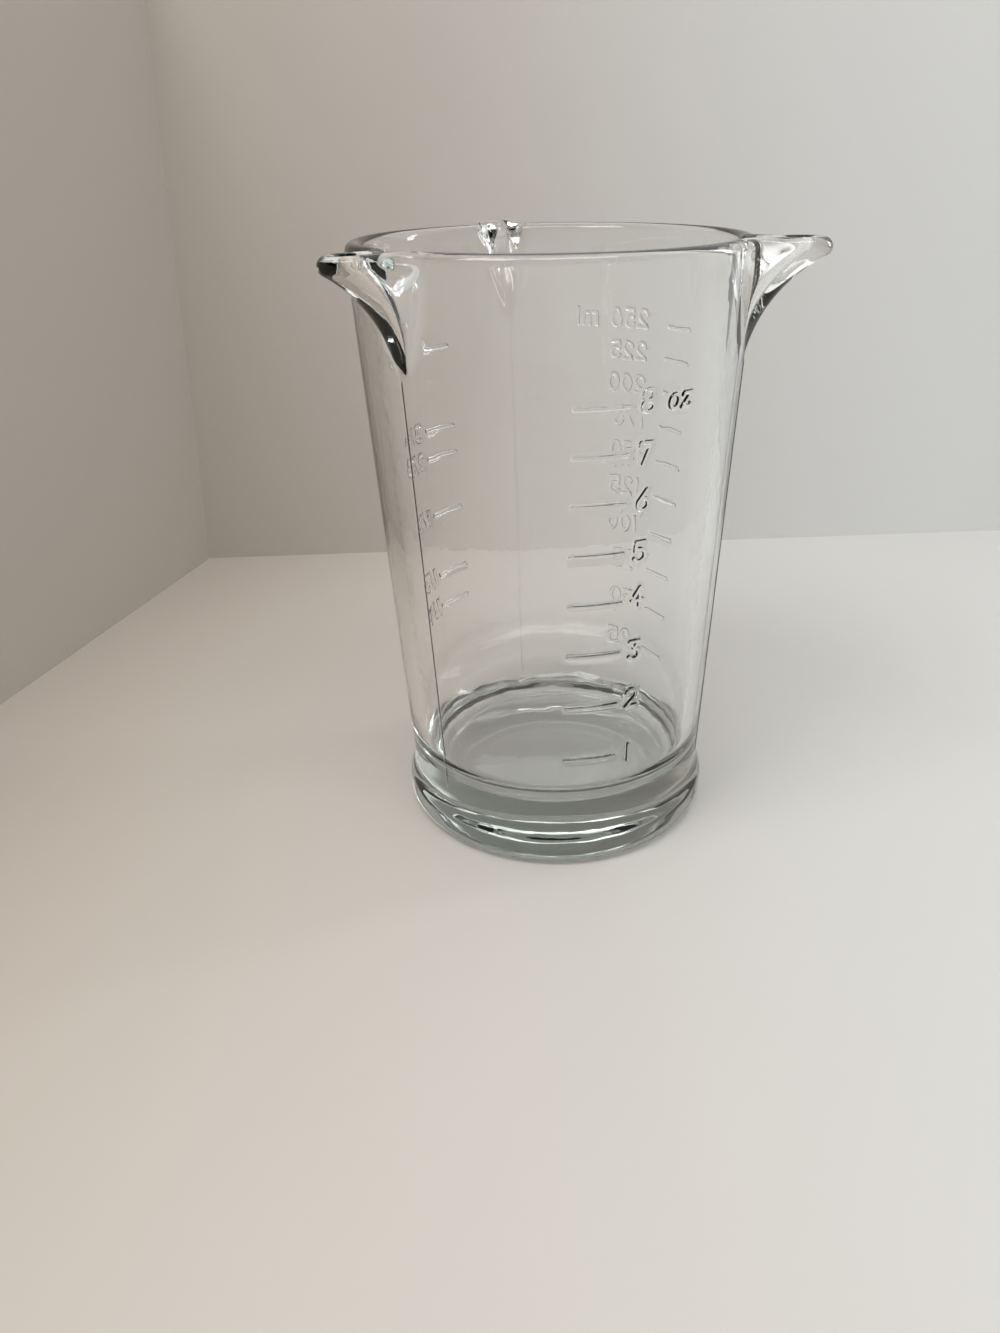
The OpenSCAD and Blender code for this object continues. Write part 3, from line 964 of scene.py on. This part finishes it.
def pressed_glass(look):
    """Clear pressed glass: fire-polished, faintly green in depth, with a fine ripple."""
    mat, graph = new_material("pressed_glass")
    coords = graph.node("TexCoord").outputs["Object"]
    ripple = graph.node("TexNoise", {"Vector": coords, "Scale": 160.0, "Detail": 2.0, "Roughness": 0.5})
    bump = graph.node("Bump", {"Strength": 0.06, "Distance": 0.0006, "Height": ripple.outputs["Fac"]})
    shader = graph.node("BsdfPrincipled", {
        "Base Color": (1, 1, 1, 1), "Roughness": look.gloss, "IOR": look.ior,
        "Transmission Weight": 1.0, "Normal": bump.outputs["Normal"]})
    depth = graph.node("VolumeAbsorption", {"Color": (*look.tint, 1), "Density": look.depth})
    graph.node("OutputMaterial", {"Surface": shader.outputs["BSDF"], "Volume": depth.outputs["Volume"]})
    return mat


# The niche, in metres: unit vector along its back wall to the right, its corner, and a point
# of the left wall's foot nearer to the camera
NICHE_RIGHT = np.array([0.981, -0.192])
NICHE_CORNER = np.array([-0.0788, 0.1638])
LEFT_FRONT = np.array([-0.1286, 0.0704])
BACK_WALL_L = 0.9
LEFT_WALL_L = 0.7
WALL_TOP = 0.2
FLOOR_HALF = 2
# Air between the resting ring and the table
FLOOR_GAP = 0.00004

# How far the photograph's view is turned clockwise from along +Y
VIEW_TURN = math.radians(15.5)
# How far to the left and right of the glass the floor is all painted shade and all painted light, how far
# along the back wall the walls take to turn from painted shade to painted light, and how far a mottled
# tone wanders on that way
FLOOR_SHADED = -0.12
FLOOR_LIT = 0.10
WALL_LIT = 0.27
MOTTLING = 0.16

# Painted shade: for rays that the glass's edges bend or mirror, the stage's paint is darkened away from a
# clear middle, as if the room were darker there: distances between which the painted shade falls, how dark
# it falls, and how dark it makes the middle in reflections
FLOOR_DUSK = (0.20, 0.30)
BACK_DUSK = (0.075, 0.11)
BACK_MIDDLE = NICHE_CORNER + 0.125 * NICHE_RIGHT
DUSK_DEPTH = 0.96
MIRROR_DEPTH = 0.6
# How much painted light brightens the back wall's paint seen through the glass's body, and the height from
# which it is open to the room for what the body bends upwards
BODY_PAINTED_LIGHT = 1.13
OPEN_ABOVE = 0.104


def view_point(right, away, up):
    """A place given in metres to the right of, away behind and above the glass, as seen."""
    c, s = math.cos(VIEW_TURN), math.sin(VIEW_TURN)
    return (right * c + away * s, -right * s + away * c, up)


def faded_tone(graph, coords, shaded, lit, first, last):
    """Colour of matt paint with faint mottling and painted shade: it goes from a painted shaded tone to a
    painted lit one along a level line from the first point to the last."""
    step = (last - first) / ((last - first) @ (last - first))
    mottle = graph.node("TexNoise", {"Vector": coords, "Scale": 9.0, "Detail": 5.0, "Roughness": 0.6})
    way = graph.vector("DOT_PRODUCT", coords, (*step, 0), result="Value")
    wander = graph.calc("MULTIPLY_ADD", mottle.outputs["Fac"], MOTTLING, -(first @ step) - MOTTLING / 2)
    total = graph.calc("ADD", way, wander, clamp=True)
    return graph.ramp(total, ((0, (*shaded, 1)), (1, (*lit, 1))), "EASE")


def dusk_share(graph, coords, middle, dusk_range):
    """0 near a surface's clear middle and 1 far from it, by the level distance."""
    level = graph.vector("MULTIPLY_ADD", coords, (1, 1, 0), (-middle[0], -middle[1], 0))
    return graph.step(graph.vector("LENGTH", level, result="Value"), *dusk_range)


def at_first_hand(graph, path, share):
    """A share kept only for rays that no matt surface has scattered yet."""
    return graph.calc("MULTIPLY", share, graph.calc("LESS_THAN", path["Diffuse Depth"], 0.5))


def through_edge(graph, path):
    """1 for rays that passed one or two surfaces of the glass: its edges, keels and base."""
    passed = graph.calc("MULTIPLY", graph.calc("GREATER_THAN", path["Transmission Depth"], 0.5),
                        graph.calc("LESS_THAN", path["Transmission Depth"], 2.5))
    return at_first_hand(graph, path, passed)


def through_body(graph, path):
    """1 for rays that passed more surfaces: the body of the glass, seen straight through."""
    return at_first_hand(graph, path, graph.calc("GREATER_THAN", path["Transmission Depth"], 2.5))


def edge_dark(graph, path, dusk, mirrored=None):
    """How dark the painted shade makes a surface for the glass's edges: by its dusk where they bend it
    and, where a share is given, by its clear middle where they mirror it."""
    mirror = graph.calc("GREATER_THAN", path["Glossy Depth"], 0.5)
    bent = graph.calc("MULTIPLY", graph.calc("MULTIPLY", dusk, DUSK_DEPTH),
                      graph.calc("SUBTRACT", 1.0, mirror))
    if mirrored is not None:
        middle = graph.calc("MULTIPLY", graph.calc("SUBTRACT", 1.0, dusk), mirrored)
        bent = graph.calc("ADD", bent, graph.calc("MULTIPLY", middle, mirror))
    return graph.calc("MULTIPLY", through_edge(graph, path), bent)


def matt_surface(graph, colour, dark):
    """Matt paint of a colour, darkened to black by a share of painted shade."""
    unlit = graph.mix(dark, colour, (0, 0, 0, 1))
    return graph.node("BsdfPrincipled", {
        "Base Color": unlit, "Roughness": 0.55, "Specular IOR Level": 0.3}).outputs["BSDF"]


def opened(graph, paint, share):
    """Paint that a share, 0 or 1, turns clear."""
    clear = graph.node("BsdfTransparent")
    return graph.node("MixShader", [share, paint, clear.outputs["BSDF"]]).outputs["Shader"]


def floor_paint(look):
    """The floor: painted shade by the left wall, painted light on the right, and painted dark far from the
    glass for what its edges bend.
    """
    mat, graph = new_material("pale_floor")
    coords = graph.node("TexCoord").outputs["Object"]
    path = graph.node("LightPath").outputs
    first, last = (np.array(view_point(x, 0, 0)[:2]) for x in (FLOOR_SHADED, FLOOR_LIT))
    # Painted shade by the left wall, turning to painted light on the right
    colour = faded_tone(graph, coords, look.floor_shade, look.floor, first, last)
    dark = edge_dark(graph, path, dusk_share(graph, coords, (0, 0), FLOOR_DUSK))
    graph.node("OutputMaterial", {"Surface": matt_surface(graph, colour, dark)})
    return mat


def back_wall_paint(look):
    """The back wall: painted shade by the corner, painted dark for the glass's edges, painted light where
    it is seen through the glass's body, clear from behind, and open above for the body.
    """
    mat, graph = new_material("pale_back_wall")
    coords = graph.node("TexCoord").outputs["Object"]
    path = graph.node("LightPath").outputs
    # Painted shade towards the corner, turning to painted light along the wall
    colour = faded_tone(graph, coords, look.wall_shade, look.wall, NICHE_CORNER,
                        NICHE_CORNER + WALL_LIT * NICHE_RIGHT)
    dusk = dusk_share(graph, coords, BACK_MIDDLE, BACK_DUSK)
    dark = edge_dark(graph, path, dusk, MIRROR_DEPTH)
    body = through_body(graph, path)
    # Painted light: the wall's paint is brighter for rays through the glass's body
    gain = graph.calc("MULTIPLY_ADD", body, BODY_PAINTED_LIGHT - 1, 1.0)
    paint = matt_surface(graph, graph.scaled(colour, gain), dark)
    height = graph.node("SeparateXYZ", [coords]).outputs["Z"]
    high = graph.calc("MULTIPLY", body, graph.calc("GREATER_THAN", height, OPEN_ABOVE))
    behind = graph.node("NewGeometry").outputs["Backfacing"]
    share = graph.calc("MAXIMUM", behind, high)
    graph.node("OutputMaterial", {"Surface": opened(graph, paint, share)})
    return mat


def left_wall_paint(look):
    """The left wall: painted shade all over from the corner's tone, painted dark all over for what the
    glass's edges bend, and clear from behind.
    """
    mat, graph = new_material("pale_left_wall")
    coords = graph.node("TexCoord").outputs["Object"]
    path = graph.node("LightPath").outputs
    # Painted shade: the shaded tone that the corner gives
    colour = faded_tone(graph, coords, look.wall_shade, look.wall, NICHE_CORNER,
                        NICHE_CORNER + WALL_LIT * NICHE_RIGHT)
    paint = matt_surface(graph, colour, edge_dark(graph, path, 1.0))
    behind = graph.node("NewGeometry").outputs["Backfacing"]
    graph.node("OutputMaterial", {"Surface": opened(graph, paint, behind)})
    return mat


# Brightness of the room by the sine of a ray's height, for rays that the glass bends or mirrors
FRONT_TONES = ((-1, .5), (-.09, .5), (.1, .45), (.22, .05), (.5, .03), (.85, .06), (1, .1))
BACK_TONES = ((-1, .5), (-.02, .5), (.1, .85), (.3, 1), (1, 1))
BACK_GAIN = 1.25
# The way to the front, and the cosines to it between which the back turns into the front
FRONT = (-0.267, -0.964, 0)
FRONT_RANGE = (-0.3, 0.25)
# What the camera itself sees of the room, and how much brighter the room is through the glass
ROOM_SEEN = (0.6, 0.59, 0.575, 1)
THROUGH_GAIN = 1.9


def warm(grey):
    """A faintly warm grey."""
    return (grey, grey * .985, grey * .96, 1)


def add_room(look):
    """World by kind of ray: pale for the camera, even for scattered light and brighter where
    that comes through the glass, and for rays that the glass bends or mirrors a room that is
    pale round the horizon, dark in front above it and bright high up behind."""
    world = bpy.data.worlds.new("room")
    bpy.context.scene.world = world
    world.use_nodes = True
    graph = Graph(world.node_tree)
    path = graph.node("LightPath").outputs
    coords = graph.node("TexCoord").outputs["Generated"]
    height = graph.node("SeparateXYZ", [coords]).outputs["Z"]
    share = graph.calc("MULTIPLY_ADD", height, 0.5, 0.5)
    front, behind = (graph.ramp(share, [((sine + 1) / 2, warm(grey)) for sine, grey in tones])
                     for tones in (FRONT_TONES, BACK_TONES))
    in_front = graph.step(graph.vector("DOT_PRODUCT", coords, FRONT, result="Value"), *FRONT_RANGE)
    seen = graph.mix(in_front, graph.scaled(behind, BACK_GAIN), front)
    bent = graph.calc("MAXIMUM", path["Is Glossy Ray"], path["Is Transmission Ray"])
    through = (*[look.sky * THROUGH_GAIN] * 3, 1)
    even = graph.mix(path["Is Transmission Ray"], warm(look.sky), through)
    lit = graph.mix(at_first_hand(graph, path, bent), even, seen)
    colour = graph.mix(path["Is Camera Ray"], lit, ROOM_SEEN)
    graph.tree.links.new(colour, graph.tree.nodes["Background"].inputs["Color"])


# Lamps: the power's name, the lamp's own, its place as seen, its width and height, its colour
LAMPS = (
    ("key", "window", (-0.3, -0.3, 0.7), (0.3, 0.3), (1, 0.99, 0.97)),
    ("fill", "ceiling", (0.1, -0.3, 0.75), (0.45, 0.2), (1, 0.97, 0.92)),
    ("slit", "slit", (0.5, 0.15, 0.25), (0.06, 0.25), (0.95, 0.98, 1)),
)
LAMP_TARGET = (0, 0, 0.06)


def add_lamp(name, place, size, power, colour):
    """A soft rectangular lamp that looks at the glass."""
    data = bpy.data.lights.new(name, "AREA")
    data.shape = "RECTANGLE"
    data.size, data.size_y = size
    data.energy = power
    data.color = colour
    obj = bpy.data.objects.new(name, data)
    obj.location = place
    obj.rotation_euler = (Vector(LAMP_TARGET) - Vector(place)).to_track_quat("-Z", "Y").to_euler()
    obj.visible_camera = False
    bpy.context.scene.collection.objects.link(obj)


def add_sheet(name, corners, mat):
    """A flat four-cornered sheet of the stage."""
    mesh = bpy.data.meshes.new(name)
    mesh.from_pydata(corners, [], [(0, 1, 2, 3)])
    mesh.materials.append(mat)
    obj = bpy.data.objects.new(name, mesh)
    bpy.context.scene.collection.objects.link(obj)


def add_niche(look):
    """Floor and two one-sided walls that meet in the corner behind the glass."""
    low, half = -FLOOR_GAP, FLOOR_HALF
    square = [(-half, -half, low), (half, -half, low), (half, half, low), (-half, half, low)]
    add_sheet("floor", square, floor_paint(look))
    c = NICHE_CORNER
    front = (LEFT_FRONT - c) / np.linalg.norm(LEFT_FRONT - c)
    far, near = c + NICHE_RIGHT * BACK_WALL_L, c + front * LEFT_WALL_L
    back_wall = [(*c, low), (*far, low), (*far, WALL_TOP), (*c, WALL_TOP)]
    left_wall = [(*near, low), (*c, low), (*c, WALL_TOP), (*near, WALL_TOP)]
    add_sheet("back_wall", back_wall, back_wall_paint(look))
    add_sheet("left_wall", left_wall, left_wall_paint(look))


# Camera of the photograph, in metres and in the photograph's own pixels
CAMERA_PLACE = (-0.0553719, -0.1996645, 0.1334839)
CAMERA_RIGHT = (0.96987017, -0.24295259, -0.01805224)
CAMERA_UP = (0.09239564, 0.29825609, 0.95000334)
FOCAL_PIXELS = 1065.453
IMAGE_SIZE = (1000, 1333)
PRINCIPAL_POINT = (521.13, 499.10)
SENSOR = 36
CLIP_START = 0.005
CLIP_END = 20


def add_camera():
    """Camera of the photograph: place, heading and framing."""
    data = bpy.data.cameras.new("camera")
    cam = bpy.data.objects.new("camera", data)
    bpy.context.scene.collection.objects.link(cam)
    right, up = Vector(CAMERA_RIGHT).normalized(), Vector(CAMERA_UP).normalized()
    axes = Matrix((right, up, right.cross(up))).transposed()
    cam.matrix_world = Matrix.Translation(CAMERA_PLACE) @ axes.to_4x4()
    wide, high = IMAGE_SIZE
    data.sensor_width = SENSOR
    data.lens = FOCAL_PIXELS / high * SENSOR
    data.shift_x = -(PRINCIPAL_POINT[0] - wide / 2) / high
    data.shift_y = -(high / 2 - PRINCIPAL_POINT[1]) / high
    data.clip_start, data.clip_end = CLIP_START, CLIP_END
    bpy.context.scene.camera = cam


# Operators, panel and the script's own run

GROUPS = {"glass_shape": GlassShape, "raised_scales": RaisedScales, "glass_look": GlassLook,
          "studio_look": StudioLook}


class GLASSWARE_OT_vessel(bpy.types.Operator):
    """Build the glass with its spouts and raised scales"""
    bl_idname = "glassware.vessel"
    bl_label = "Measuring Glass"

    def execute(self, context):
        scene = context.scene
        s = derive(plain_values(scene.glass_shape))
        m = plain_values(scene.raised_scales)
        look = plain_values(scene.glass_look)
        verts, quads, tris = glass_surface(s, m, look.wave)
        piece = add_piece("pressed_glass", verts, quads, tris)
        piece.data.materials.append(pressed_glass(look))
        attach(piece, "root")
        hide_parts(*CAD_NODES)
        print("glass: %d vertices, %d triangles" % (len(verts), 2 * len(quads) + len(tris)))
        return {"FINISHED"}


class GLASSWARE_OT_studio(bpy.types.Operator):
    """Build the pale niche, the lamps and the camera"""
    bl_idname = "glassware.studio"
    bl_label = "Studio"

    def execute(self, context):
        look = plain_values(context.scene.studio_look)
        add_niche(look)
        for power, name, place, size, colour in LAMPS:
            add_lamp(name, view_point(*place), size, getattr(look, power), colour)
        add_room(look)
        add_camera()
        return {"FINISHED"}


class GLASSWARE_PT_sidebar(bpy.types.Panel):
    """Lists the steps and their sizes"""
    bl_idname = "GLASSWARE_PT_sidebar"
    bl_label = "Measuring Glass"
    bl_space_type = "VIEW_3D"
    bl_region_type = "UI"
    bl_category = "Glass"

    def draw(self, context):
        layout = self.layout
        for name in GROUPS:
            group = getattr(context.scene, name)
            box = layout.box()
            box.label(text=group.bl_rna.description)
            for key in group.__annotations__:
                box.prop(group, key)
        layout.operator(GLASSWARE_OT_vessel.bl_idname)
        layout.operator(GLASSWARE_OT_studio.bl_idname)


CLASSES = (*GROUPS.values(), GLASSWARE_OT_vessel, GLASSWARE_OT_studio, GLASSWARE_PT_sidebar)


def register():
    """Makes the classes known and gives the scene its property groups."""
    for cls in CLASSES:
        bpy.utils.register_class(cls)
    for name, group in GROUPS.items():
        setattr(bpy.types.Scene, name, bpy.props.PointerProperty(type=group))


def unregister():
    """Takes the groups and the classes away again."""
    for name in GROUPS:
        delattr(bpy.types.Scene, name)
    for cls in reversed(CLASSES):
        bpy.utils.unregister_class(cls)


def main():
    """Builds everything in order."""
    register()
    bpy.context.scene.view_settings.view_transform = "Standard"
    bpy.ops.glassware.vessel()
    bpy.ops.glassware.studio()


if __name__ == "__main__":
    main()
